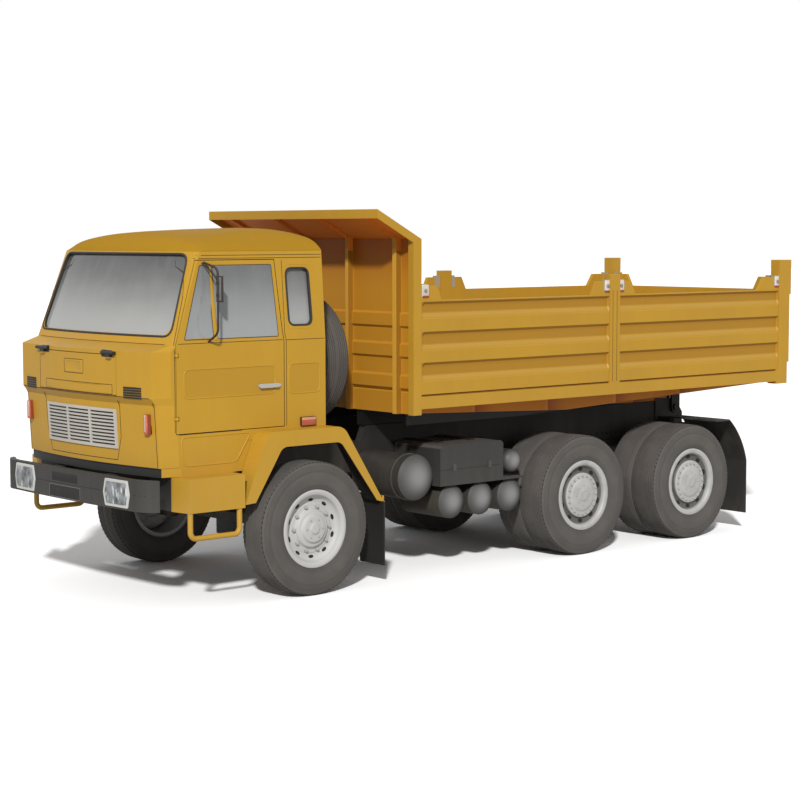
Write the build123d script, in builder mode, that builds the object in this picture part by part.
from build123d import *
import os
from math import cos, radians, sin

os.makedirs("parts", exist_ok=True)

# A forward-control 6x4 three-way tipper, in millimetres: X to its left, Y to its tail, Z up.
# Distances along the truck are measured from the front axle, and at() turns them into Y.
bumper_reach = 1592         # front axle to the nose of the bumper
tail_reach = 6192           # front axle to the back of the bed's rear posts
mid_axle = 3160
rear_axle = mid_axle + 1505
front_y = (bumper_reach - tail_reach) / 2


def at(distance):
    """Y of a place that lies so far behind the front axle."""
    return front_y + distance


# Wheels
overall_half = 1250         # tyre's outer face from the centre line
tyre_radius = 555
tyre_width = 290
tyre_bead = 290             # radius where the tyre sits on the rim
tyre_shoulder = 45
twin_gap = 40
rim_flange = 323
rim_wall = 12
disc_wall = 16
hub_radius = 145
front_hub_proud = 25        # hub cap, inside the tyre's outer face
axle_z = tyre_radius
front_wheel_x = overall_half - tyre_width / 2
outer_twin_x = front_wheel_x
inner_twin_x = outer_twin_x - tyre_width - twin_gap
bead_fit = 0.3              # tyre to rim
hub_fit = 0.5               # wheel hub to its spindle
spindle_radius = 45
drum_radius = 205

# Steering
kingpin_x = front_wheel_x - 243
kingpin_radius = 24
kingpin_fit = 0.4
eye_radius = 62
eye_half = 62
fork_gap = 5
fork_height = 46

# Chassis frame
rail_outer = inner_twin_x - 345
rail_width = 80
rail_wall = 10
rail_bottom = 870
rail_top = 1130
subframe_top = 1270
subframe_front = 1210
frame_tail = 5440
tail_chamfer_y = 5345
tail_chamfer_z = 1140
tail_bottom = 1010
tail_taper_y = 4960
bumper_back = bumper_reach - 71

# Tipping bed
tip_y = 5300
tip_z = 1200
tip_pin = 35
pin_fit = 0.3
bed_half = 1212
bed_front = 1183            # back face of the headboard
bed_floor_end = 5940
bed_tail = 6016
floor_top = 1574
floor_wall = 14
cross_depth = 90
side_rail_bottom = 1468
side_rail_width = 66
bearer_gap = 5
bearer_width = 90
bearer_notch = 75
web_x = 1000
web_low = 1314
web_wall = 24
post_mid = (3520, 3657)     # front and back of the middle posts
post_rear = (6006, 6146)
post_foot = 5976            # front of a rear post's foot, below the board
post_depth = 80
mid_post_top = 2590
rear_post_top = 2697
board_bottom = 1605
board_top = 2398
board_wall = 50
board_inset = 8             # board's outer face inside the bed's side
groove_depth = 20
board_play = 6              # at each end of a board
pivot_radius = 16
pivot_rise = 84             # board's top edge to its pivot's centre, in the hinge lug above it
tailgate_face = 6030
board_pivot_x = bed_half - board_inset - board_wall / 2
board_pivot_z = board_top + pivot_rise
tailgate_pivot_y = tailgate_face + board_wall / 2
headboard_front = 1092
headboard_wall = 33
headboard_bottom = 1418
headboard_top = 2924
canopy_front = 694
canopy_top = 3174
canopy_wall = 12
canopy_lip = 77

# Hoist
hoist_y = mid_axle - 560
hoist_z = 1050
hoist_foot = 705
hoist_top = 1262
stage_radii = (96, 82, 68, 54)
stage_wall = 12
stage_fit = 0.8
hoist_eye_z = 1335
eye_half_width = 48

# Cab
cab_half = 1020
cab_roof_half = 967
cab_rear = 285
cab_bottom = 1060
panel_bottom = 1134         # under it a dark valance, set back
waist_z = 2100
roof_edge_z = 2862
roof_top = 3022
cab_wall = 55
sill_z = 1384
floor_z = 1310
nose_front = bumper_reach - 72      # all at the centre line, ahead of the front axle
panel_front = nose_front - 42
panel_lean = 28             # the lower panel's foot behind its top
valance_front = panel_front - 46
screen_foot = nose_front - 168
screen_head = nose_front - 445
panel_top = 1630            # from here the nose slopes out to its lower edge
nose_bottom = 1685
nose_top = 2050
cab_bow = 100               # how far the front falls back where it meets a corner panel
corner_width = 40           # corner panel between the front and a side
corner_depth = 160
pillar_corner = (14, 44)
door_front = nose_front - 311
door_rear = -150
door_gap = 6
door_top = 2760
hinge_inset = 10

# What hangs beside the rails, shared out over the side between the fender and the mid wheel
fender_rear = 769
side_space = mid_axle - tyre_radius - fender_rear
silencer_inner = rail_outer + 20
silencer_outer = 1135
silencer_radius = 0.108 * side_space
silencer_y = fender_rear + 0.2505 * side_space
silencer_z = 863
battery_top = 1118
battery_bottom = 762
box_outer = 1105
box_y = fender_rear + 0.602 * side_space
box_long = 0.414 * side_space
air_radius = 0.081 * side_space
air_places = [fender_rear + share * side_space for share in (0.4858, 0.6765, 0.872)]
shelf_y = fender_rear + 0.8644 * side_space
shelf_long = 0.1307 * side_space
tank_inner = rail_outer + 50

# Hinges of the doors and the front flap
hinge_x = cab_half            # on the outer face, so that no edge swings forward
hinge_y = 5 - door_front
hinge_pin = 7
hinge_heights = (1520, 2020)
hinge_leaf = 20
flap_hinge_y = 8 - nose_front
flap_hinge_z = 2033
flap_hinge_radius = 14
flap_pin = 5

# Fenders, step boxes and bumper
fender_x = 1200
fender_skin = 22
fender_top = 1378
step_front = door_front + 8
step_rear = 682
step_bottom = 788
step_top = 1060
step_inner = 700
step_tube = 22
arch_bend = 130             # roundings of the fender's outline
bumper_half = 1125
bumper_bottom = 811
bumper_top = 1060
bumper_wall = 45


def plan_face(half, nose, back, bow, inset=0, corner=(corner_width, corner_depth)):
    """Closed plan outline of the cab: straight sides and back, bowed front, a flat corner between."""
    side_front = at(-(nose - bow) + inset)
    back_y = at(back) - inset
    width = half - inset
    edge = width - corner[0]
    with BuildSketch() as outline:
        with BuildLine():
            Polyline((edge, side_front), (width, side_front + corner[1]), (width, back_y),
                     (-width, back_y), (-width, side_front + corner[1]), (-edge, side_front))
            ThreePointArc((-edge, side_front), (0, at(-nose + inset)), (edge, side_front))
        make_face()
    return outline.sketch


def cab_hull(inset):
    """The cab's outer form, or with an inset the room inside it."""
    with BuildPart() as hull:
        with BuildSketch(Plane.XY.offset(cab_bottom)):
            add(plan_face(cab_half, valance_front, cab_rear, cab_bow, inset))
        extrude(amount=panel_bottom - cab_bottom)
        with BuildSketch(Plane.XY.offset(panel_bottom)):
            add(plan_face(cab_half, panel_front - panel_lean, cab_rear, cab_bow, inset))
        with BuildSketch(Plane.XY.offset(panel_top)):
            add(plan_face(cab_half, panel_front, cab_rear, cab_bow, inset))
        loft(ruled=True)
        with BuildSketch(Plane.XY.offset(panel_top)):
            add(plan_face(cab_half, panel_front, cab_rear, cab_bow, inset))
        with BuildSketch(Plane.XY.offset(nose_bottom)):
            add(plan_face(cab_half, nose_front, cab_rear, cab_bow, inset))
        loft(ruled=True)
        with BuildSketch(Plane.XY.offset(nose_bottom)):
            add(plan_face(cab_half, nose_front, cab_rear, cab_bow, inset))
        extrude(amount=nose_top - nose_bottom)
        with BuildSketch(Plane.XY.offset(nose_top)):
            add(plan_face(cab_half, nose_front, cab_rear, cab_bow, inset))
        with BuildSketch(Plane.XY.offset(waist_z)):
            add(plan_face(cab_half, screen_foot, cab_rear, cab_bow, inset, pillar_corner))
        loft(ruled=True)
        with BuildSketch(Plane.XY.offset(waist_z)):
            add(plan_face(cab_half, screen_foot, cab_rear, cab_bow, inset, pillar_corner))
        with BuildSketch(Plane.XY.offset(roof_edge_z - inset / 2)):
            add(plan_face(cab_roof_half, screen_head, cab_rear, cab_bow, inset, pillar_corner))
        loft(ruled=True)
    return hull.part


crown_run = 269              # the roof's shoulder, in from the side and up
crown_rise = 134
brow = [(0, 0), (50, 70), (170, 150), (470, 230)]     # the roof's front, back from the screen and up


def roof_hull(inset):
    """The crowned roof above the gutter, falling to the front."""
    half = cab_roof_half - inset
    low = roof_edge_z - inset / 2
    high = roof_top - inset
    with BuildPart() as crown:
        with BuildSketch(Plane.XZ.offset(-at(cab_rear) + inset)):
            with BuildLine():
                Polyline((half - crown_run, low + crown_rise), (half, low), (-half, low), (crown_run - half, low + crown_rise))
                ThreePointArc((crown_run - half, low + crown_rise), (0, high), (half - crown_run, low + crown_rise))
            make_face()
        extrude(amount=cab_rear + screen_head - 2 * inset)
        with BuildSketch(Plane.YZ.offset(-cab_half)):
            with BuildLine():
                Polyline([(at(run - screen_head + inset), low + rise) for run, rise in brow]
                         + [(at(cab_rear) - inset, high + 40), (at(cab_rear) - inset, low)], close=True)
            make_face()
        extrude(amount=2 * cab_half, mode=Mode.INTERSECT)
        with BuildSketch(Plane.XY.offset(low)):
            add(plan_face(cab_roof_half, screen_head, cab_rear, cab_bow, inset, pillar_corner))
        extrude(amount=high - low + 40, mode=Mode.INTERSECT)
    return crown.part


cab_outer = cab_hull(0) + roof_hull(0)
cab_inner = cab_hull(cab_wall) + roof_hull(cab_wall)
cab_shell = cab_outer - cab_inner

door_outline = [(-door_front, sill_z + 16), (-door_front, waist_z), (224 - door_front, door_top), (-215, door_top),
                (-163, 2185), (door_rear, waist_z), (door_rear, sill_z + 16)]
door_window = [(266 - door_front, 2717), (87 - door_front, 2146), (-211, 2146), (-252, 2717)]
quarter_window = [(-99, 2685), (-82, 2228), (147, 2228), (129, 2685)]
door_window_corner = 42
quarter_corner = 48
screen_corner = 75


def side_prism(points, inner_x, outer_x, grow=0, rounding=0):
    """A side-view outline, swept across the left-hand side of the cab."""
    with BuildPart() as prism:
        with BuildSketch(Plane.YZ.offset(inner_x)) as outline:
            with BuildLine():
                Polyline([(at(y), z) for y, z in points], close=True)
            make_face()
            if rounding:
                fillet(outline.vertices(), radius=rounding)
            if grow:
                offset(amount=grow, kind=Kind.INTERSECTION)
        extrude(amount=outer_x - inner_x)
    return prism.part


# Doors: half shell cut by the door's outline
with BuildPart() as door_left:
    add(cab_shell & side_prism(door_outline, 700, 1100))
    add(side_prism(door_window, 700, 1100, 0, door_window_corner), mode=Mode.SUBTRACT)
    with BuildSketch(Plane.YZ.offset(cab_half)):
        with Locations((at(-313), 1740)):
            SlotOverall(204, 34)
    extrude(amount=28)
    for height in hinge_heights:
        with Locations((hinge_x + 20, at(hinge_y) - 4, height)):
            Box(72, 46, hinge_leaf + 12, mode=Mode.SUBTRACT)
        with Locations((hinge_x, at(hinge_y), height)):
            Cylinder(hinge_pin, hinge_leaf + 14)
door_left.part.label = "door_left"
export_step(door_left.part, "parts/door_left.step")
door_right = mirror(door_left.part, about=Plane.YZ)
door_right.label = "door_right"
export_step(door_right, "parts/door_right.step")

glass_wall = 6
with BuildPart() as door_glass_left:
    with BuildSketch(Plane.XZ.offset(-at(-1160))):
        with BuildLine():
            slope = (cab_half - cab_roof_half) / (roof_edge_z - waist_z)
            outer_low = cab_half - 22 - slope * (2130 - waist_z)
            outer_high = cab_half - 22 - slope * (2730 - waist_z)
            Polyline((outer_low, 2130), (outer_high, 2730), (outer_high - glass_wall, 2730),
                     (outer_low - glass_wall, 2130), close=True)
        make_face()
    extrude(amount=-960)
    add(side_prism(door_window, 700, 1100, -0.3, door_window_corner), mode=Mode.INTERSECT)
door_glass_left.part.label = "door_glass_left"
export_step(door_glass_left.part, "parts/door_glass_left.step")
door_glass_right = mirror(door_glass_left.part, about=Plane.YZ)
door_glass_right.label = "door_glass_right"
export_step(door_glass_right, "parts/door_glass_right.step")

# What is left of the shell once the doors are out
shell_rest = cab_shell - side_prism(door_outline, 700, 1100, door_gap)
shell_rest -= mirror(side_prism(door_outline, 700, 1100, door_gap), about=Plane.YZ)


def cab_slab(low, high, kind):
    """The stretch of the shell between two limits, for one panel of the cab."""
    x0, y0, z0 = low
    x1, y1, z1 = high
    with BuildPart() as slab:
        with Locations(((x0 + x1) / 2, (at(y0) + at(y1)) / 2, (z0 + z1) / 2)):
            Box(x1 - x0, y1 - y0, z1 - z0)
    return kind & slab.part


front_end = 24 - door_front
pillar_end = 329 - door_front
roof_cut = 2830
rear_cut = 230
with BuildPart() as screen_hole:
    with BuildSketch(Plane.XZ.offset(-at(-900))) as screen_outline:
        with BuildLine():
            Polyline((-964, 2175), (-897, 2805), (897, 2805), (964, 2175), close=True)
        make_face()
        fillet(screen_outline.vertices(), radius=screen_corner)
    extrude(amount=700)

flap_half = 585
flap_low = nose_bottom + 8
flap_high = nose_top - 30
with BuildPart() as flap_cut:
    with Locations((0, at(-nose_front), (flap_low + flap_high) / 2)):
        Box(2 * flap_half, 300, flap_high - flap_low)

flap_depth = 34
with BuildPart() as flap_skin:
    with BuildSketch(Plane.XY.offset(nose_bottom)):
        add(plan_face(cab_half, nose_front, cab_rear, cab_bow, 0))
    extrude(amount=nose_top - nose_bottom)
    with BuildSketch(Plane.XY.offset(nose_bottom)):
        add(plan_face(cab_half, nose_front - flap_depth, cab_rear, cab_bow, 0))
    extrude(amount=nose_top - nose_bottom, mode=Mode.SUBTRACT)
flap_pocket = flap_skin.part & flap_cut.part

front_piece = cab_slab((-1100, -1700, cab_bottom), (1100, front_end, roof_cut), shell_rest)
pillar_piece = cab_slab((-1100, front_end, waist_z), (1100, pillar_end, roof_cut), shell_rest)
with BuildPart() as cab_front:
    add(front_piece)
    add(pillar_piece)
    add(screen_hole.part & cab_outer, mode=Mode.SUBTRACT)
    add(flap_pocket, mode=Mode.SUBTRACT)
    for side in (-1, 1):
        for height in hinge_heights:
            with BuildSketch(Plane.XY.offset(height - hinge_leaf / 2)):
                with Locations((side * hinge_x, at(hinge_y))):
                    Circle(13)
                with Locations((side * (hinge_x - 3), at(hinge_y) - 16)):
                    Rectangle(16, 30)
                with Locations((side * hinge_x, at(hinge_y))):
                    Circle(hinge_pin + pin_fit, mode=Mode.SUBTRACT)
            extrude(amount=hinge_leaf)
        for near, far in ((415, 470), (536, 591)):
            with Locations(Location((side * (near + far) / 2, at(flap_hinge_y), flap_hinge_z), (0, 90, 0))):
                Cylinder(flap_hinge_radius, far - near)
            with Locations((side * (near + far) / 2, at(flap_hinge_y + 24), flap_hinge_z + 4)):
                Box(far - near, 48, 12)
        with Locations(Location((side * 503, at(flap_hinge_y), flap_hinge_z), (0, 90, 0))):
            Cylinder(flap_pin, 80)
cab_front.part.label = "cab_front"
export_step(cab_front.part, "parts/cab_front.step")

with BuildPart() as flap_limits:
    with Locations((0, at(-nose_front), (flap_low + flap_high) / 2)):
        Box(2 * (flap_half - door_gap), 300, flap_high - flap_low - 2 * door_gap)
with BuildPart() as flap_back:
    with BuildSketch(Plane.XY.offset(nose_bottom)):
        add(plan_face(cab_half, nose_front - flap_depth + door_gap, cab_rear, cab_bow, 0))
    extrude(amount=nose_top - nose_bottom)
with BuildPart() as front_flap:
    add((flap_skin.part & flap_limits.part) - flap_back.part)
    for side in (-1, 1):
        with Locations(Location((side * 503, at(flap_hinge_y), flap_hinge_z), (0, 90, 0))):
            Cylinder(flap_hinge_radius, 62)
        with Locations((side * 503, at(flap_hinge_y + 3), flap_hinge_z - 16)):
            Box(62, 16, 28)
        with Locations((side * 503, at(flap_hinge_y + 14), flap_hinge_z - 32)):
            Box(62, 40, 24)
        with Locations(Location((side * 503, at(flap_hinge_y), flap_hinge_z), (0, 90, 0))):
            Cylinder(flap_pin + pin_fit, 64, mode=Mode.SUBTRACT)
front_flap.part.label = "front_flap"
export_step(front_flap.part, "parts/front_flap.step")

with BuildPart() as cab_roof:
    add(cab_slab((-1100, -1300, roof_cut), (1100, cab_rear, 3200), shell_rest))
cab_roof.part.label = "cab_roof"
export_step(cab_roof.part, "parts/cab_roof.step")

with BuildPart() as rear_window:
    with Locations((0, at(cab_rear), 2420)):
        Box(900, 300, 420)
with BuildPart() as cab_back:
    add(cab_slab((-1100, rear_cut, floor_z - 60), (1100, cab_rear, roof_cut), shell_rest))
    add(rear_window.part, mode=Mode.SUBTRACT)
cab_back.part.label = "cab_back"
export_step(cab_back.part, "parts/cab_back.step")

# Side panels: sills and the quarter panels behind the doors
side_piece = cab_slab((900, front_end, cab_bottom), (1100, rear_cut, roof_cut), shell_rest)
side_piece -= cab_slab((900, front_end, waist_z), (1100, pillar_end, roof_cut), shell_rest)
with BuildPart() as wheel_house:
    with BuildSketch(Plane.YZ.offset(700)):
        with BuildLine():
            Polyline((at(-640), 1000), (at(-640), 1120), (at(-520), floor_z - 2), (at(540), floor_z - 2),
                     (at(600), 1000), close=True)
        make_face()
    extrude(amount=500)
with BuildPart() as cab_sides:
    add(side_piece)
    add(wheel_house.part, mode=Mode.SUBTRACT)
    add(side_prism(quarter_window, 700, 1100, 0, quarter_corner), mode=Mode.SUBTRACT)
    mirror(about=Plane.YZ)
cab_sides.part.label = "cab_sides"
export_step(cab_sides.part, "parts/cab_sides.step")

floor_front = front_end + 40
with BuildPart() as cab_floor:
    with BuildSketch(Plane.XY.offset(floor_z)):
        with Locations((0, (at(floor_front) + at(rear_cut)) / 2)):
            Rectangle(2 * (cab_half - cab_wall) - 1, rear_cut - floor_front - 1)
    extrude(amount=40)
cab_floor.part.label = "cab_floor"
export_step(cab_floor.part, "parts/cab_floor.step")

# Fixed glass
with BuildPart() as screen_body:
    with BuildSketch(Plane.XY.offset(waist_z)):
        add(plan_face(cab_half, screen_foot - 18, cab_rear, cab_bow, 0))
    with BuildSketch(Plane.XY.offset(roof_edge_z)):
        add(plan_face(cab_roof_half, screen_head - 18, cab_rear, cab_bow, 0))
    loft(ruled=True)
with BuildPart() as screen_back:
    with BuildSketch(Plane.XY.offset(waist_z)):
        add(plan_face(cab_half, screen_foot - 18 - glass_wall, cab_rear + 20, cab_bow, 0))
    with BuildSketch(Plane.XY.offset(roof_edge_z)):
        add(plan_face(cab_roof_half, screen_head - 18 - glass_wall, cab_rear + 20, cab_bow, 0))
    loft(ruled=True)
with BuildPart() as cab_glass:
    add((screen_body.part - screen_back.part) & screen_hole.part)
    with BuildSketch(Plane.XZ.offset(-at(-110))):
        with BuildLine():
            low = cab_half - 22 - slope * (2220 - waist_z)
            high = cab_half - 22 - slope * (2690 - waist_z)
            Polyline((low, 2220), (high, 2690), (high - glass_wall, 2690), (low - glass_wall, 2220), close=True)
        make_face()
    quarter_slab = extrude(amount=-270, mode=Mode.PRIVATE)
    quarter_pane = quarter_slab & side_prism(quarter_window, 700, 1100, -0.3, quarter_corner)
    add(quarter_pane)
    add(mirror(quarter_pane, about=Plane.YZ))
    with Locations((0, at(cab_rear) - 25, 2420)):
        Box(899, glass_wall, 419)
cab_glass.part.label = "cab_glass"
export_step(cab_glass.part, "parts/cab_glass.step")

# Cab furniture
with BuildPart() as dashboard:
    add(cab_slab((-940, -1500, 1630), (940, -1130, 1880), cab_hull(cab_wall + 1)))
    with Locations(Location((480, at(-985), 1905), (-62, 0, 0))):
        Torus(230, 14)
        Box(440, 30, 16)
        Cylinder(26, 330, align=(Align.CENTER, Align.CENTER, Align.MAX))
dashboard.part.label = "dashboard"
export_step(dashboard.part, "parts/dashboard.step")

with BuildPart() as seats:
    for x in (-480, 480):
        with Locations((x, at(-330), floor_z + 40)):
            Box(420, 420, 190, align=(Align.CENTER, Align.CENTER, Align.MIN))
        with Locations((x, at(-330), floor_z + 230)):
            Box(500, 500, 130, align=(Align.CENTER, Align.CENTER, Align.MIN))
        with Locations((x, at(-120), floor_z + 230)):
            Box(480, 120, 760, align=(Align.CENTER, Align.CENTER, Align.MIN))
seats.part.label = "seats"
export_step(seats.part, "parts/seats.step")

# Chassis frame: channel rails with the subframe on top, and what crosses between them
rail_step = bumper_back - 181   # the rail's front end is lower, to pass under the cab
rail_outline = [(-bumper_back, rail_bottom), (tail_taper_y, rail_bottom), (frame_tail, tail_bottom),
                (frame_tail, tail_chamfer_z), (tail_chamfer_y, subframe_top), (subframe_front, subframe_top),
                (subframe_front - 60, rail_top), (-rail_step, rail_top),
                (-rail_step, cab_bottom - 12), (-bumper_back, cab_bottom - 12)]
# behind the front axle, height of the centre, height, length
cross_members = [(-1290, 1000, 200, 90), (860, 960, 140, 90), (1250, 1010, 200, 100), (2250, 1010, 200, 70),
                 (3912, 1010, 220, 160), (4960, 1010, 200, 80), (5420, 1072, 110, 40)]
# side, place, underside, top, reach from the centre line
carriers = [(1, silencer_y, 880, 920, silencer_inner), (1, box_y - box_long / 4, battery_top, rail_top, 900),
            (1, box_y + box_long / 4, battery_top, rail_top, 900), (1, -1000, 900, 1000, step_inner),
            (-1, -1000, 900, 1000, step_inner), (-1, box_y - box_long / 2, 880, 980, tank_inner),
            (-1, box_y + box_long / 3, 880, 980, tank_inner)]
hitch_spacing = (160, 60)
hitch_hole = 10.5
with BuildPart() as frame:
    with BuildSketch(Plane.YZ.offset(rail_outer - rail_width)):
        with BuildLine():
            Polyline([(at(y), z) for y, z in rail_outline], close=True)
        make_face()
    extrude(amount=rail_width)
    with BuildSketch(Plane.YZ.offset(rail_outer - rail_width)):
        with BuildLine():
            Polyline([(at(y), z) for y, z in rail_outline], close=True)
        make_face()
        offset(amount=-rail_wall, kind=Kind.INTERSECTION)
    extrude(amount=rail_width - rail_wall, mode=Mode.SUBTRACT)
    mirror(about=Plane.YZ)
    for place, height, tall, long in cross_members:
        with Locations((0, at(place), height)):
            Box(2 * (rail_outer - rail_wall / 2), long, tall)
    with Locations(Location((0, at(tip_y), tip_z), (0, 90, 0))):
        Cylinder(tip_pin, 2 * (rail_outer + 50))
    # hoist cradle: a plate inside each rail with an arm to the trunnion
    for side in (-1, 1):
        with Locations((side * (rail_outer + 118) / 2, at(hoist_y), hoist_z)):
            Box(rail_outer - 118, 120, 110)
    with Locations(Location((0, at(hoist_y), hoist_z), (0, 90, 0))):
        Cylinder(25 + pin_fit, 2 * rail_outer, mode=Mode.SUBTRACT)
    # carriers that reach out to what hangs beside the rails
    for side, place, low, high, reach in carriers:
        with Locations((side * (rail_outer - 5 + reach) / 2, at(place), (low + high) / 2)):
            Box(reach - rail_outer + 5, 60, high - low)
    with Locations((0, at(frame_tail + 20), 1010)):
        Box(1860, 40, 40)
    # four holes for a drawbar coupling in the tail member
    with Locations(Location((0, at(frame_tail), 1072), (90, 0, 0))):
        with GridLocations(hitch_spacing[0], hitch_spacing[1], 2, 2):
            Cylinder(hitch_hole, 100, mode=Mode.SUBTRACT)
frame.part.label = "frame"
export_step(frame.part, "parts/frame.step")

engine_size = (2 * (rail_outer - rail_width) - 80, 1000, 560)
with BuildPart() as engine:
    with Locations((0, at(-300), 1010)):
        Box(*engine_size)
    with Locations((0, at(-650), 930), (0, at(60), 930)):
        Box(2 * (rail_outer - rail_wall), 80, 60)
    with Locations((0, at(470), 900)):
        Box(360, 540, 330)
    with Locations(Location((0, at(750), 790), (-90, 0, 0))):
        Cylinder(60, 100)
engine.part.label = "engine"
export_step(engine.part, "parts/engine.step")

# Front axle beam, its eyes bored for the kingpins
beam_height = 110
beam_width = 90
with BuildPart() as front_axle:
    with Locations((0, at(0), axle_z)):
        Box(2 * kingpin_x, beam_width, beam_height)
    with Locations((kingpin_x, at(0), axle_z), (-kingpin_x, at(0), axle_z)):
        Cylinder(eye_radius, 2 * eye_half)
        Cylinder(kingpin_radius + kingpin_fit, 2 * eye_half, mode=Mode.SUBTRACT)
front_axle.part.label = "front_axle"
export_step(front_axle.part, "parts/front_axle.step")

# Leaf springs: the front pair, and the pair that spans both rear axles
leaf_width = 80
front_leaf_x = rail_outer + 40
rear_leaf_x = rail_outer + 95
with BuildPart() as springs:
    with BuildSketch(Plane.YZ.offset(front_leaf_x - leaf_width / 2)):
        with BuildLine():
            ThreePointArc((at(-720), 800), (at(0), axle_z + beam_height / 2), (at(720), 800))
            Line((at(720), 800), (at(720), 822))
            ThreePointArc((at(720), 822), (at(0), axle_z + beam_height / 2 + 90), (at(-720), 822))
            Line((at(-720), 822), (at(-720), 800))
        make_face()
    extrude(amount=leaf_width)
    for place in (-690, 690):
        with Locations((rail_outer + 35, at(place), 850)):
            Box(70, 90, 100)
    rear_middle = (mid_axle + rear_axle) / 2
    with BuildSketch(Plane.YZ.offset(rear_leaf_x - leaf_width / 2)):
        with BuildLine():
            ThreePointArc((at(mid_axle - 60), 690), (at(rear_middle), 850), (at(rear_axle + 60), 690))
            Line((at(rear_axle + 60), 690), (at(rear_axle + 60), 660))
            ThreePointArc((at(rear_axle + 60), 660), (at(rear_middle), 700), (at(mid_axle - 60), 660))
            Line((at(mid_axle - 60), 660), (at(mid_axle - 60), 690))
        make_face()
    extrude(amount=leaf_width)
    with Locations((rail_outer + 50, at(rear_middle), 850)):
        Box(100, 200, 260)
    mirror(about=Plane.YZ)
springs.part.label = "springs"
export_step(springs.part, "parts/springs.step")

# Driven axles with their propeller shafts
housing_radius = 85
diff_radius = 205
with BuildPart() as rear_axles:
    for place in (mid_axle, rear_axle):
        with Locations(Location((0, at(place), axle_z), (0, 90, 0))):
            Cylinder(housing_radius, 2 * 590)
            Cylinder(spindle_radius + 20, 2 * (overall_half - 95))
            Cylinder(diff_radius, 260)
        for x in (-rear_leaf_x, rear_leaf_x):
            with Locations((x, at(place), 660)):
                Box(leaf_width, 120, 60, align=(Align.CENTER, Align.CENTER, Align.MAX))
    shaft_runs = [((0, at(806), 780), (0, at(mid_axle - 180), 610)),
                  ((0, at(mid_axle + 180), 590), (0, at(rear_axle - 180), 590))]
    for start, end in shaft_runs:
        run = Vector(*end) - Vector(*start)
        with Locations(Plane(origin=start, z_dir=run)):
            Cylinder(42, run.length, align=(Align.CENTER, Align.CENTER, Align.MIN))
rear_axles.part.label = "rear_axles"
export_step(rear_axles.part, "parts/rear_axles.step")

# Steering knuckles: a fork over the axle's eye, the kingpin, and the spindle
spindle_end = overall_half - 100
with BuildPart() as knuckle_left:
    with Locations((kingpin_x, at(0), axle_z)):
        Cylinder(kingpin_radius, 2 * (eye_half + fork_gap + fork_height))
    for side in (-1, 1):
        with Locations((kingpin_x, at(0), axle_z + side * (eye_half + fork_gap + fork_height / 2))):
            Cylinder(eye_radius, fork_height)
        with Locations((kingpin_x + 60, at(0), axle_z + side * (eye_half + fork_gap + fork_height / 2))):
            Box(120, 100, fork_height)
    with Locations((kingpin_x + 95, at(0), axle_z)):
        Box(50, 110, 2 * (eye_half + fork_gap + fork_height))
    with Locations(Location((kingpin_x + 100, at(0), axle_z), (0, 90, 0))):
        Cylinder(spindle_radius, spindle_end - kingpin_x - 100, align=(Align.CENTER, Align.CENTER, Align.MIN))
knuckle_left.part.label = "knuckle_left"
export_step(knuckle_left.part, "parts/knuckle_left.step")
knuckle_right = mirror(knuckle_left.part, about=Plane.YZ)
knuckle_right.label = "knuckle_right"
export_step(knuckle_right, "parts/knuckle_right.step")

# Tyres and rims turned about X; a section's x grows outwards, y is its radius
half_width = tyre_width / 2
tyre_section = [(-half_width + 25, tyre_bead), (-half_width + 25, rim_flange + 3), (-half_width, 400), (-half_width, 470),
                (-half_width + 18, tyre_radius - tyre_shoulder + 18), (-half_width + 40, tyre_radius),
                (half_width - 40, tyre_radius), (half_width - 18, tyre_radius - tyre_shoulder + 18),
                (half_width, 470), (half_width, 400), (half_width - 25, rim_flange + 3),
                (half_width - 25, tyre_bead)]


def turned(points, x, y):
    """A closed section turned about the axle at y, its own middle at x."""
    with BuildPart() as ring:
        with BuildSketch(Plane.XY):
            with BuildLine():
                Polyline([(x + along, y + radius) for along, radius in points], close=True)
            make_face()
        revolve(axis=Axis((x, y, 0), (1, 0, 0)))
    return Location((0, 0, axle_z)) * ring.part


seat_radius = tyre_bead - bead_fit
front_rim_section = [(-half_width + 12, rim_flange), (-half_width + 24, rim_flange), (-half_width + 24, seat_radius),
                     (half_width - 24, seat_radius), (half_width - 24, rim_flange), (half_width - 12, rim_flange),
                     (half_width - 12, seat_radius - rim_wall), (90, seat_radius - 2 * rim_wall),
                     (60, 200), (half_width + front_hub_proud - 60, hub_radius), (half_width - 30, hub_radius),
                     (half_width - 30, 0), (spindle_end - front_wheel_x + 5, 0),
                     (spindle_end - front_wheel_x + 5, spindle_radius + hub_fit),
                     (-40, spindle_radius + hub_fit), (-40, drum_radius), (40, drum_radius),
                     (40, seat_radius - 2 * rim_wall), (-half_width + 12, seat_radius - rim_wall)]
twin_reach = (outer_twin_x - inner_twin_x)
rear_hub_end = 132
rear_disc = 84                # the disc's face, out from the tyre's middle
rear_rim_section = [(-half_width + 12, rim_flange), (-half_width + 24, rim_flange), (-half_width + 24, seat_radius),
                    (half_width - 24, seat_radius), (half_width - 24, rim_flange), (half_width - 12, rim_flange),
                    (half_width - 12, seat_radius - rim_wall), (rear_disc, seat_radius - 2 * rim_wall), (rear_disc - 8, 200),
                    (rear_disc + 14, 192), (rear_hub_end - 16, 160), (rear_hub_end - 4, 110), (rear_hub_end, 0),
                    (spindle_end - outer_twin_x + 10, 0),
                    (spindle_end - outer_twin_x + 10, spindle_radius + 20 + hub_fit),
                    (-twin_reach - 60, spindle_radius + 20 + hub_fit), (-twin_reach - 60, drum_radius),
                    (rear_disc - 45, drum_radius), (rear_disc - 45, seat_radius - 2 * rim_wall),
                    (-half_width + 12, seat_radius - rim_wall)]
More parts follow.
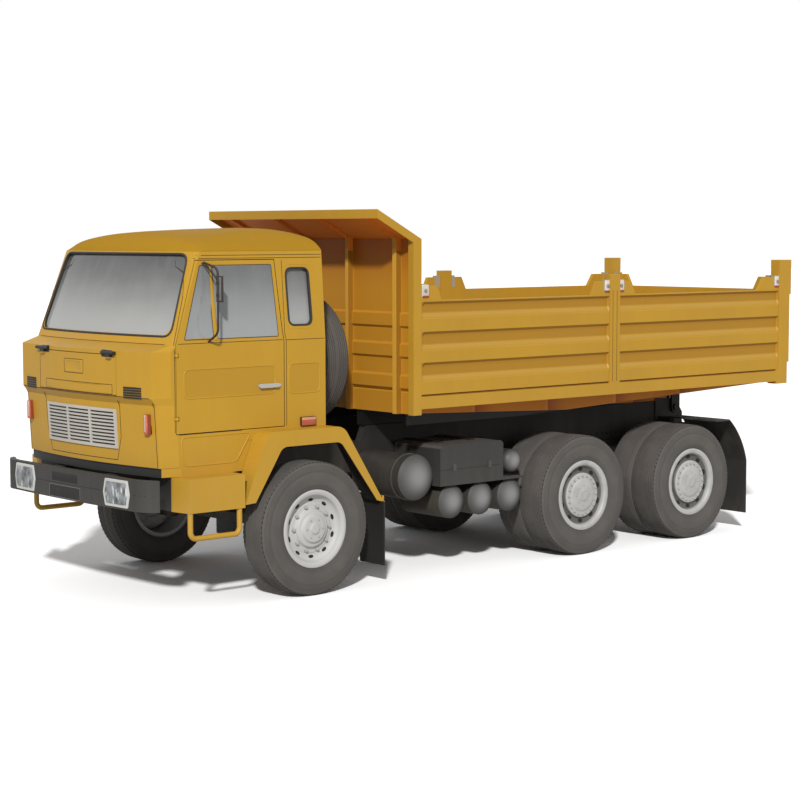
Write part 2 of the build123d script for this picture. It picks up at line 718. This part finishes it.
inner_rim_section = [(-half_width + 12, rim_flange), (-half_width + 24, rim_flange), (-half_width + 24, seat_radius),
                     (half_width - 24, seat_radius), (half_width - 24, rim_flange), (half_width - 12, rim_flange),
                     (half_width - 12, drum_radius), (-half_width + 12, drum_radius)]

hand_holes = 10
nut_radius = 15
nut_proud = 34


def wheel_face(solid, x, y, hole_ring, hole_size, hole_deep, nut_ring, nuts, nut_foot):
    """The rim with its hand holes through the disc and its ring of wheel nuts."""
    with BuildPart() as dressed:
        add(solid)
        with Locations(Location((x + hole_deep, y, axle_z), (0, 90, 0))):
            with PolarLocations(hole_ring, hand_holes):
                Cylinder(hole_size, 60, mode=Mode.SUBTRACT)
        with Locations(Location((x + nut_foot, y, axle_z), (0, 90, 0))):
            with PolarLocations(nut_ring, nuts, start_angle=180 / nuts):
                Cylinder(nut_radius, nut_proud, align=(Align.CENTER, Align.CENTER, Align.MIN))
    return dressed.part


front_tyre = turned(tyre_section, front_wheel_x, at(0))
front_rim = wheel_face(turned(front_rim_section, front_wheel_x, at(0)), front_wheel_x, at(0),
                       237, 24, 62, 186, 10, 50)
for place, name in ((0, "front"), (mid_axle, "mid"), (rear_axle, "rear")):
    if place == 0:
        tyres = front_tyre
        rims = front_rim
    else:
        tyres = Part(children=[turned(tyre_section, outer_twin_x, at(place)),
                               turned(tyre_section, inner_twin_x, at(place))])
        outer_rim = wheel_face(turned(rear_rim_section, outer_twin_x, at(place)), outer_twin_x, at(place),
                               236, 24, rear_disc - 20, 165, 20, rear_hub_end - 40)
        rims = outer_rim + turned(inner_rim_section, inner_twin_x, at(place))
    for kind, solid in (("tyre", tyres), ("rim", rims)):
        solid.label = f"{kind}_{name}_left"
        export_step(solid, f"parts/{kind}_{name}_left.step")
        other = mirror(solid, about=Plane.YZ)
        other.label = f"{kind}_{name}_right"
        export_step(other, f"parts/{kind}_{name}_right.step")

# Spare wheel standing across the truck behind the cab, on its carrier
spare_y = 640
spare_z = subframe_top + 60 + tyre_radius
with BuildPart() as spare_tyre:
    with BuildSketch(Plane.YZ):
        with BuildLine():
            Polyline([(at(spare_y) + along, spare_z + radius) for along, radius in tyre_section], close=True)
        make_face()
    revolve(axis=Axis((0, at(spare_y), spare_z), (0, 1, 0)))
spare_tyre.part.label = "spare_tyre"
export_step(spare_tyre.part, "parts/spare_tyre.step")
with BuildPart() as spare_carrier:
    with Locations(Location((0, at(spare_y), spare_z), (90, 0, 0))):
        Cylinder(seat_radius, tyre_width - 50)
        Cylinder(seat_radius - 40, tyre_width, mode=Mode.SUBTRACT)
        Cylinder(seat_radius - 35, 16)
    with Locations((0, at(spare_y - 230), rail_top)):
        Box(2 * rail_outer, 60, spare_z + 60 - rail_top, align=(Align.CENTER, Align.CENTER, Align.MIN))
    with Locations(Location((0, at(spare_y - 110), spare_z), (90, 0, 0))):
        Cylinder(60, 240)
spare_carrier.part.label = "spare_carrier"
export_step(spare_carrier.part, "parts/spare_carrier.step")

# Fenders: an arch band on the outside with a top and slopes back to the cab
fender_outer = [(-676, bumper_bottom), (-452, fender_top), (335, fender_top), (fender_rear, 704)]
fender_inner = [(691, 728), (303, 1249), (-301, 1249), (-577, 818)]
with BuildPart() as fenders:
    with BuildSketch(Plane.YZ.offset(cab_half)):
        with BuildLine():
            over = FilletPolyline([(at(y), z) for y, z in fender_outer], radius=arch_bend)
            under = FilletPolyline([(at(y), z) for y, z in fender_inner], radius=arch_bend - 40)
            Line(over @ 1, under @ 0)
            Line(under @ 1, over @ 0)
        make_face()
    extrude(amount=fender_x - cab_half)
    with BuildSketch(Plane.YZ.offset(cab_half)):
        with BuildLine():
            Polyline((at(-676 + fender_skin), bumper_bottom - 50), (at(-452 + fender_skin), fender_top - fender_skin),
                     (at(335 - fender_skin), fender_top - fender_skin), (at(769 - fender_skin), 650), close=True)
        make_face()
    extrude(amount=fender_x - cab_half - fender_skin, mode=Mode.SUBTRACT)
    with Locations((1060, at(756), 440)):
        Box(320, 14, 550)
    with Locations(((rail_outer + 1200) / 2, at(756), 730)):
        Box(1200 - rail_outer, 24, 60)
    with Locations((rail_outer + 20, at(756), 800)):
        Box(40, 24, 200)
    # step box ahead of each front wheel, with its hoop of tube below
    with BuildSketch(Plane.XY.offset(step_bottom)):
        with BuildLine():
            Polyline((step_inner, at(-step_front - 33)), (cab_half, at(-step_front - 33)),
                     (fender_x, at(-step_front)), (fender_x, at(-step_rear)), (step_inner, at(-step_rear)),
                     close=True)
        make_face()
    extrude(amount=step_top - step_bottom)
    with BuildLine() as step_hoop:
        FilletPolyline((fender_x - 26, at(-step_front + 20), step_bottom + 30), (fender_x - 26, at(-step_front + 20), 583),
                       (fender_x - 26, at(-step_rear - 40), 583), (fender_x - 26, at(-step_rear - 40), step_bottom + 30),
                       radius=55)
    with BuildSketch(Plane(origin=step_hoop.line @ 0, z_dir=step_hoop.line % 0)):
        Circle(step_tube)
    sweep(path=step_hoop.line)
    mirror(about=Plane.YZ)
fenders.part.label = "fenders"
export_step(fenders.part, "parts/fenders.step")

# Bumper: flat bow with ends that turn back
bend_x = bumper_half - 233
bend_y = at(26 - bumper_reach)
end_y = at(145 - bumper_reach)
back_y = at(-bumper_back)
with BuildPart() as bumper:
    with BuildSketch(Plane.XY.offset(bumper_bottom)):
        with BuildLine():
            ThreePointArc((-bend_x, bend_y), (0, at(-bumper_reach)), (bend_x, bend_y))
            ThreePointArc((bend_x, bend_y), (bumper_half - 52, bend_y + 61), (bumper_half, end_y))
            Polyline((bumper_half, end_y), (bumper_half - bumper_wall, end_y))
            ThreePointArc((bumper_half - bumper_wall, end_y), (bumper_half - 79, bend_y + 97), (bend_x - 10, back_y))
            Line((bend_x - 10, back_y), (10 - bend_x, back_y))
            ThreePointArc((10 - bend_x, back_y), (79 - bumper_half, bend_y + 97), (bumper_wall - bumper_half, end_y))
            Polyline((bumper_wall - bumper_half, end_y), (-bumper_half, end_y))
            ThreePointArc((-bumper_half, end_y), (52 - bumper_half, bend_y + 61), (-bend_x, bend_y))
        make_face()
    extrude(amount=bumper_top - bumper_bottom)
lamp_x = bumper_half - 421
lamp_rim = 10
lamp_flat = 312
lamp_long = 366
lamp_tall = bumper_top - bumper_bottom - 2 * lamp_rim
with BuildPart() as lamp_case:
    with BuildSketch(Plane.XZ.offset(-at(-bumper_back))):
        with BuildLine():
            Polyline((-lamp_long / 2, 0), (-lamp_flat / 2, lamp_tall / 2), (lamp_flat / 2, lamp_tall / 2),
                     (lamp_long / 2, 0), (lamp_flat / 2, -lamp_tall / 2), (-lamp_flat / 2, -lamp_tall / 2), close=True)
        make_face()
    extrude(amount=150, both=True)
lamp_z = (bumper_top + bumper_bottom) / 2
lamp_room = [Pos(side * lamp_x, 0, lamp_z) * lamp_case.part for side in (-1, 1)]
headlamps = [bumper.part & room for room in lamp_room]
for room in lamp_room:
    bumper.part = bumper.part - room
bumper.part.label = "bumper"
export_step(bumper.part, "parts/bumper.step")

# Grille: a slotted plate that follows the bow and lean of the lower panel
grille_half = 519
grille_low = 1263
grille_high = 1580
grille_proud = 14
grille_slots = 10
grille_rim = 24
grille_bar = 14
slot_pitch = (grille_high - grille_low - 2 * grille_rim + grille_bar) / grille_slots
slot_long = (2 * grille_half - 4 * grille_rim) / 3
with BuildPart() as grille_body:
    with BuildSketch(Plane.XY.offset(panel_bottom)):
        add(plan_face(cab_half, panel_front - panel_lean + grille_proud, cab_rear, cab_bow))
    with BuildSketch(Plane.XY.offset(panel_top)):
        add(plan_face(cab_half, panel_front + grille_proud, cab_rear, cab_bow))
    loft(ruled=True)
with BuildPart() as grille:
    with Locations((0, at(-panel_front), (grille_low + grille_high) / 2)):
        Box(2 * grille_half, 200, grille_high - grille_low)
        with GridLocations(slot_long + grille_rim, 0, 3, 1):
            for row in range(grille_slots):
                with Locations((0, 0, (row - (grille_slots - 1) / 2) * slot_pitch)):
                    Box(slot_long, 220, slot_pitch - grille_bar, mode=Mode.SUBTRACT)
    add(grille_body.part, mode=Mode.INTERSECT)
    add(cab_outer, mode=Mode.SUBTRACT)
grille.part.label = "grille"
export_step(grille.part, "parts/grille.step")

# Marker, side and tail lamps, carried by the panels behind them, and the headlamps in the bumper
with BuildPart() as lamps:
    for side in (-1, 1):
        with Locations((side * 888, at(cab_bow - panel_front - 10), 1483)):
            Box(74, 60, 156)
        with Locations((side * (cab_half + 9), at(92), 1424)):
            Box(18, 157, 77)
        with Locations((side * 760, at(frame_tail + 70), 1010)):
            Box(340, 60, 110)
    add(cab_outer, mode=Mode.SUBTRACT)
    add(headlamps)
lamps.part.label = "lamps"
export_step(lamps.part, "parts/lamps.step")

# Mirror on a hoop of tube, bolted to the left-hand door above and below its window
hoop_tube = 9
mirror_x = 1150
mirror_y = -896
mirror_z = 2538
with BuildPart() as mirror_arm:
    with BuildLine() as hoop:
        FilletPolyline((980, at(mirror_y - 16), 2745), (mirror_x, at(mirror_y), 2700),
                       (mirror_x, at(mirror_y), 2190), (1006, at(mirror_y), 2112), radius=24)
    with BuildSketch(Plane(origin=hoop.line @ 0, z_dir=hoop.line % 0)):
        Circle(hoop_tube)
    sweep(path=hoop.line)
    with Locations(Location((mirror_x, at(mirror_y) + 18, mirror_z), (0, 0, -8))):
        Box(100, 24, 206)
        with Locations((0, -14, 0)):
            Box(40, 20, 60)
    add(cab_outer, mode=Mode.SUBTRACT)
mirror_arm.part.label = "mirror"
export_step(mirror_arm.part, "parts/mirror.step")

# Silencer, air tanks and battery box on the left, fuel tank on the right


def tank(inner, outer, y, z, radius, dome):
    """A drum lying across the truck, its outer end domed."""
    with BuildPart() as drum:
        with BuildSketch(Plane.XY):
            with BuildLine():
                Polyline((outer - dome, y + radius), (inner, y + radius), (inner, y), (outer, y))
                ThreePointArc((outer, y), (outer - 0.28 * dome, y + 0.62 * radius), (outer - dome, y + radius))
            make_face()
        revolve(axis=Axis((inner, y, 0), (1, 0, 0)))
    return Location((0, 0, z)) * drum.part


silencer_drum = tank(silencer_inner, silencer_outer, at(silencer_y), silencer_z, silencer_radius, 60)
with BuildPart() as silencer:
    add(silencer_drum)
    with Locations(Location((silencer_outer - 95, at(silencer_y), silencer_z), (0, 90, 0))):
        Cylinder(silencer_radius + 5, 30)
silencer.part.label = "silencer"
export_step(silencer.part, "parts/silencer.step")

air_drums = [tank(540, box_outer, at(place), battery_bottom - air_radius, air_radius, 45) for place in air_places]
with BuildPart() as air_tanks:
    add(air_drums)
air_tanks.part.label = "air_tanks"
export_step(air_tanks.part, "parts/air_tanks.step")

small_drum = tank(500, box_outer, at(shelf_y), battery_bottom + 160, 65, 25)
with BuildPart() as battery_box:
    with BuildSketch(Plane.YZ.offset(500)):
        with BuildLine():
            Polyline((at(box_y) - box_long / 2, battery_bottom), (at(box_y) - box_long / 2, battery_top - 24),
                     (at(box_y) - box_long / 2 + 24, battery_top), (at(box_y) + box_long / 2 - 24, battery_top),
                     (at(box_y) + box_long / 2, battery_top - 24), (at(box_y) + box_long / 2, battery_bottom),
                     close=True)
        make_face()
    extrude(amount=box_outer - 500)
    with Locations(((500 + box_outer) / 2, at(box_y) + box_long / 2 + shelf_long / 2, battery_bottom)):
        Box(box_outer - 500, shelf_long, 20, align=(Align.CENTER, Align.CENTER, Align.MIN))
    add(small_drum)
    with Locations((560, at(shelf_y), battery_bottom + 60)):
        Box(60, 60, 120)
battery_box.part.label = "battery_box"
export_step(battery_box.part, "parts/battery_box.step")

with BuildPart() as fuel_tank:
    with Locations((-tank_inner, at(fender_rear + 0.507 * side_space), 850)):
        Box(600, 0.681 * side_space, 520, align=(Align.MAX, Align.CENTER, Align.CENTER))
    fillet(fuel_tank.edges().filter_by(Axis.Y), radius=60)
fuel_tank.part.label = "fuel_tank"
export_step(fuel_tank.part, "parts/fuel_tank.step")

# Rear mudguards: a curved plate behind the last wheels with a flap below
guard_back = rear_axle + 828
guard_top = 1130
guard_bend = 700
guard_low = 174
guard_wall = 14
with BuildPart() as mudguards:
    with BuildSketch(Plane.YZ.offset(600)):
        with BuildLine():
            Polyline((at(guard_back), guard_bend), (at(guard_back), guard_low), (at(guard_back - guard_wall), guard_low),
                     (at(guard_back - guard_wall), guard_bend))
            ThreePointArc((at(guard_back - guard_wall), guard_bend), (at(guard_back - 102), 915),
                          (at(guard_back - 270), guard_top - guard_wall))
            Polyline((at(guard_back - 270), guard_top - guard_wall), (at(guard_back - 470), guard_top - guard_wall),
                     (at(guard_back - 470), guard_top), (at(guard_back - 270), guard_top))
            ThreePointArc((at(guard_back - 270), guard_top), (at(guard_back - 92), 925), (at(guard_back), guard_bend))
        make_face()
    extrude(amount=640)
    with Locations(((rail_outer + 602) / 2, at(guard_back - 400), guard_top - guard_wall - 30)):
        Box(602 - rail_outer, 60, 60)
    mirror(about=Plane.YZ)
mudguards.part.label = "mudguards"
export_step(mudguards.part, "parts/mudguards.step")

# The bed: floor on cross members and bearers, side rails and posts
with BuildPart() as bed_floor:
    with BuildSketch(Plane.XY.offset(floor_top - floor_wall)):
        with Locations((0, (at(bed_front) + at(bed_floor_end)) / 2)):
            Rectangle(2 * (bed_half - side_rail_width), bed_floor_end - bed_front)
    extrude(amount=floor_wall)
    cross_count = 10
    cross_step = (bed_floor_end - bed_front - 120) / (cross_count - 1)
    for index in range(cross_count):
        with Locations((0, at(bed_front + 60 + index * cross_step), floor_top - floor_wall - cross_depth / 2)):
            Box(2 * (bed_half - side_rail_width), 60, cross_depth)
    bearer_low = subframe_top + bearer_gap
    bearer_high = floor_top - floor_wall - cross_depth
    for side in (-1, 1):
        with BuildSketch(Plane.YZ.offset(side * rail_outer - (bearer_width if side > 0 else 0))):
            with BuildLine():
                Polyline((at(bed_front), bearer_high), (at(bed_front), bearer_low), (at(tip_y - 50), bearer_low),
                         (at(tip_y - 50), bearer_low + bearer_notch), (at(bed_floor_end), bearer_low + bearer_notch + 40),
                         (at(bed_floor_end), bearer_high), close=True)
            make_face()
        extrude(amount=bearer_width)
        # ears that hold the tipping pin
        with BuildSketch(Plane.YZ.offset(side * (rail_outer + 23) - 13)):
            with Locations((at(tip_y), (tip_z + bearer_high) / 2)):
                Rectangle(120, bearer_high - tip_z)
            with Locations((at(tip_y), tip_z)):
                Circle(60)
                Circle(tip_pin + pin_fit, mode=Mode.SUBTRACT)
        extrude(amount=26)
        with Locations((side * (rail_outer + 5), at(tip_y), (bearer_low + bearer_notch + bearer_high) / 2 + 10)):
            Box(62, 120, bearer_high - bearer_low - bearer_notch - 20)
        # hoist ears on a cross beam
        with BuildSketch(Plane.YZ.offset(side * (eye_half_width + 16) - 10)):
            with Locations((at(hoist_y), (hoist_eye_z + bearer_high) / 2)):
                Rectangle(110, bearer_high - hoist_eye_z)
            with Locations((at(hoist_y), hoist_eye_z)):
                Circle(55)
        extrude(amount=20)
    with Locations((0, at(hoist_y), bearer_high + cross_depth / 2)):
        Box(2 * rail_outer, 130, cross_depth)
    # side webs under the cross members, tapering to the tail
    for side in (-1, 1):
        with BuildSketch(Plane.YZ.offset(side * web_x - web_wall / 2)):
            with BuildLine():
                Polyline((at(bed_front), bearer_high + web_wall), (at(bed_front), web_low), (at(mid_axle - tyre_radius), web_low),
                         (at(bed_floor_end), side_rail_bottom - web_wall), (at(bed_floor_end), bearer_high + web_wall),
                         close=True)
            make_face()
        extrude(amount=web_wall)
bed_floor.part.label = "bed_floor"
export_step(bed_floor.part, "parts/bed_floor.step")

with BuildPart() as bed_frame:
    for side in (-1, 1):
        inner = side * (bed_half - side_rail_width / 2)
        with Locations((inner, (at(bed_front) + at(post_foot)) / 2, (side_rail_bottom + floor_top) / 2)):
            Box(side_rail_width, post_foot - bed_front, floor_top - side_rail_bottom)
        with Locations((side * (bed_half - post_depth / 2), at(sum(post_mid) / 2), floor_top)):
            Box(post_depth, post_mid[1] - post_mid[0], mid_post_top - floor_top,
                align=(Align.CENTER, Align.CENTER, Align.MIN))
        with Locations((side * (bed_half - 55), at(sum(post_rear) / 2), 1443)):
            Box(110, post_rear[1] - post_rear[0], rear_post_top - 1443, align=(Align.CENTER, Align.CENTER, Align.MIN))
        with Locations((side * (bed_half - 55), at((post_foot + post_rear[0]) / 2), (1443 + board_bottom - 8) / 2)):
            Box(110, post_rear[0] - post_foot, board_bottom - 8 - 1443)
        # the post's back steps out twice on the way up
        for reach, low, high in ((tail_reach - 20, 1660, 2350), (tail_reach, 2349, rear_post_top)):
            with Locations((side * (bed_half - 30), at((post_rear[1] + reach) / 2), (low + high) / 2)):
                Box(60, reach - post_rear[1], high - low)
    with Locations((0, at((bed_floor_end + bed_tail) / 2), 1515)):
        Box(2 * (bed_half - 60), bed_tail - bed_floor_end, 2 * (floor_top - 1515))
    for y0, y1 in (post_mid, post_rear):
        with Locations(Location((board_pivot_x, at((y0 + y1) / 2), board_pivot_z), (90, 0, 0)),
                       Location((-board_pivot_x, at((y0 + y1) / 2), board_pivot_z), (90, 0, 0))):
            Cylinder(pivot_radius + pin_fit, y1 - y0, mode=Mode.SUBTRACT)
    with Locations(Location((0, at(tailgate_pivot_y), board_pivot_z), (0, 90, 0))):
        Cylinder(pivot_radius + pin_fit, 2 * (bed_half - 60), mode=Mode.SUBTRACT)
bed_frame.part.label = "bed_frame"
export_step(bed_frame.part, "parts/bed_frame.step")

headboard_grooves = [(2303, 2154), (2040, 1891), (1767, 1600)]
groove_press = 14
canopy_rib = 44


def canopy_z(y):
    """The height of the canopy's upper face at a distance behind the front axle."""
    return headboard_top + (bed_front - y) * (canopy_top - headboard_top) / (bed_front - canopy_front)


with BuildPart() as headboard:
    with Locations((0, at(bed_front), headboard_bottom)):
        Box(2 * bed_half, headboard_wall, headboard_top - headboard_bottom,
            align=(Align.CENTER, Align.MAX, Align.MIN))
    # pressed grooves across the front; the ribs stand on the lands between them
    for high, low in headboard_grooves:
        with BuildSketch(Plane.YZ.offset(68 - bed_half)):
            with BuildLine():
                Polyline((at(bed_front - headboard_wall), high), (at(bed_front - headboard_wall) + groove_press, high - 24),
                         (at(bed_front - headboard_wall) + groove_press, low + 24), (at(bed_front - headboard_wall), low),
                         close=True)
            make_face()
        extrude(amount=2 * bed_half - 136, mode=Mode.SUBTRACT)
    for x0, x1 in ((bed_half - 68, bed_half), (bed_half - 278, bed_half - 225), (293, 335)):
        for side in (-1, 1):
            with BuildSketch(Plane.YZ.offset(side * (x0 + x1) / 2 - (x1 - x0) / 2)):
                with BuildLine():
                    Polyline((at(bed_front - headboard_wall), headboard_bottom), (at(headboard_front), headboard_bottom),
                             (at(headboard_front), canopy_z(headboard_front) - 6),
                             (at(bed_front - headboard_wall), canopy_z(bed_front - headboard_wall) - 6), close=True)
                make_face()
            extrude(amount=x1 - x0)
    with BuildSketch(Plane.YZ.offset(-bed_half)):
        with BuildLine():
            Polyline((at(bed_front), headboard_top), (at(canopy_front), canopy_top),
                     (at(canopy_front), canopy_top - canopy_lip), (at(canopy_front + 8), canopy_top - canopy_lip),
                     (at(canopy_front + 8), canopy_top - canopy_wall - 4),
                     (at(bed_front), headboard_top - canopy_wall - 2), close=True)
        make_face()
    extrude(amount=2 * bed_half)
    for x, deep in ((-bed_half, canopy_lip), (251 - bed_half, canopy_rib), (-314, canopy_rib), (306, canopy_rib),
                    (bed_half - 259, canopy_rib), (bed_half - 8, canopy_lip)):
        with BuildSketch(Plane.YZ.offset(x)):
            with BuildLine():
                Polyline((at(headboard_front + 4), canopy_z(headboard_front + 4) - 6),
                         (at(canopy_front + 4), canopy_z(canopy_front + 4) - 6),
                         (at(canopy_front + 4), canopy_z(canopy_front + 4) - deep),
                         (at(headboard_front + 4), canopy_z(headboard_front + 4) - deep), close=True)
            make_face()
        extrude(amount=8)
    with Locations(Location((board_pivot_x, at(bed_front), board_pivot_z), (90, 0, 0)),
                   Location((-board_pivot_x, at(bed_front), board_pivot_z), (90, 0, 0))):
        Cylinder(pivot_radius + pin_fit, 60, mode=Mode.SUBTRACT)
headboard.part.label = "headboard"
export_step(headboard.part, "parts/headboard.step")

# Side boards, hung from pins at their top corners; grooves run along the outside
board_face = bed_half - board_inset
groove_rows = [(2299, 2162), (2070, 1933), (1842, 1704)]
board_profile = [(board_face - board_wall, board_bottom), (board_face, board_bottom)]
for high, low in reversed(groove_rows):
    board_profile += [(board_face, low), (board_face - groove_depth, low + 30),
                      (board_face - groove_depth, high - 35), (board_face, high)]
board_profile += [(board_face, board_top), (board_face - board_wall, board_top)]
board_spans = (("front", bed_front + board_play, post_mid[0] - board_play),
               ("rear", post_mid[1] + board_play, post_rear[0] - board_play))
# hinge lugs over a board's ends: a casting about the pin, and a gusset that slopes down to the board
lug_long = 88
lug_rise = 142
lug_wall = 40
gusset_rise = 126
gussets = {"front": ((95, 60), (95, 66)), "rear": ((95, 66), (160, 92))}   # level run and slope at each end
for name, start, end in board_spans:
    with BuildPart() as board:
        with BuildSketch(Plane.XZ.offset(-at(start))):
            with BuildLine():
                Polyline(board_profile, close=True)
            make_face()
        extrude(amount=-(end - start))
        with BuildSketch(Plane.YZ.offset(board_pivot_x - lug_wall / 2)):
            for tip, way, (level, slope) in ((start, 1, gussets[name][0]), (end, -1, gussets[name][1])):
                with BuildLine():
                    Polyline([(at(tip + way * run), board_top + rise) for run, rise in
                              ((0, 0), (0, lug_rise), (lug_long, lug_rise), (lug_long, gusset_rise),
                               (lug_long + level, gusset_rise), (lug_long + level + slope, 0))], close=True)
                make_face()
        extrude(amount=lug_wall)
        for tip, way in ((start, 1), (end, -1)):
            with Locations(Location((board_pivot_x, at(tip - way * (board_play + 22)), board_pivot_z), (-90 * way, 0, 0))):
                Cylinder(pivot_radius, lug_long, align=(Align.CENTER, Align.CENTER, Align.MIN))
    board.part.label = f"board_{name}_left"
    export_step(board.part, f"parts/board_{name}_left.step")
    other = mirror(board.part, about=Plane.YZ)
    other.label = f"board_{name}_right"
    export_step(other, f"parts/board_{name}_right.step")

tailgate_half = bed_half - 110 - board_play
with BuildPart() as tailgate:
    with BuildSketch(Plane.YZ.offset(-tailgate_half)):
        with BuildLine():
            Polyline([(at(tailgate_face + x - board_face + board_wall), z) for x, z in board_profile], close=True)
        make_face()
    extrude(amount=2 * tailgate_half)
    with BuildSketch(Plane.XZ.offset(-at(tailgate_pivot_y) - lug_wall / 2)):
        for way in (-1, 1):
            with BuildLine():
                Polyline([(way * (tailgate_half - run), board_top + rise) for run, rise in
                          ((0, 0), (0, lug_rise), (lug_long, lug_rise), (lug_long, gusset_rise),
                           (lug_long + 95, gusset_rise), (lug_long + 161, 0))], close=True)
            make_face()
    extrude(amount=lug_wall)
    for way in (-1, 1):
        with Locations(Location((way * (tailgate_half + board_play + 22), at(tailgate_pivot_y), board_pivot_z),
                                (0, -90 * way, 0))):
            Cylinder(pivot_radius, lug_long, align=(Align.CENTER, Align.CENTER, Align.MIN))
tailgate.part.label = "tailgate"
export_step(tailgate.part, "parts/tailgate.step")

# Telescopic hoist: outer tube on trunnions, three stages and a rod with its eye
stage_count = len(stage_radii)
with BuildPart() as hoist_tube:
    with Locations((0, at(hoist_y), hoist_foot)):
        Cylinder(stage_radii[0] + stage_fit + stage_wall, hoist_top - hoist_foot,
                 align=(Align.CENTER, Align.CENTER, Align.MIN))
        with Locations((0, 0, 14)):
            Cylinder(stage_radii[0] + stage_fit, hoist_top - hoist_foot, mode=Mode.SUBTRACT,
                     align=(Align.CENTER, Align.CENTER, Align.MIN))
    for side in (-1, 1):
        with Locations(Location((side * (stage_radii[0] + 8), at(hoist_y), hoist_z), (0, side * 90, 0))):
            Cylinder(25, 60, align=(Align.CENTER, Align.CENTER, Align.MIN))
hoist_tube.part.label = "hoist_tube"
export_step(hoist_tube.part, "parts/hoist_tube.step")

for index, radius in enumerate(stage_radii):
    low = hoist_foot + 18 + 4 * index
    last = index == stage_count - 1
    with BuildPart() as stage:
        with Locations((0, at(hoist_y), low)):
            Cylinder(radius, hoist_top - 4 - low, align=(Align.CENTER, Align.CENTER, Align.MIN))
            if not last:
                Cylinder(stage_radii[index + 1] + stage_fit, hoist_top, mode=Mode.SUBTRACT,
                         align=(Align.CENTER, Align.CENTER, Align.MIN))
        if last:
            with Locations((0, at(hoist_y), hoist_top - 10)):
                Cylinder(30, hoist_eye_z - hoist_top + 10, align=(Align.CENTER, Align.CENTER, Align.MIN))
            with Locations(Location((0, at(hoist_y), hoist_eye_z), (0, 90, 0))):
                Cylinder(42, 2 * eye_half_width)
                Cylinder(22, 2 * eye_half_width, mode=Mode.SUBTRACT)
    stage.part.label = f"hoist_stage_{index + 1}"
    export_step(stage.part, f"parts/hoist_stage_{index + 1}.step")
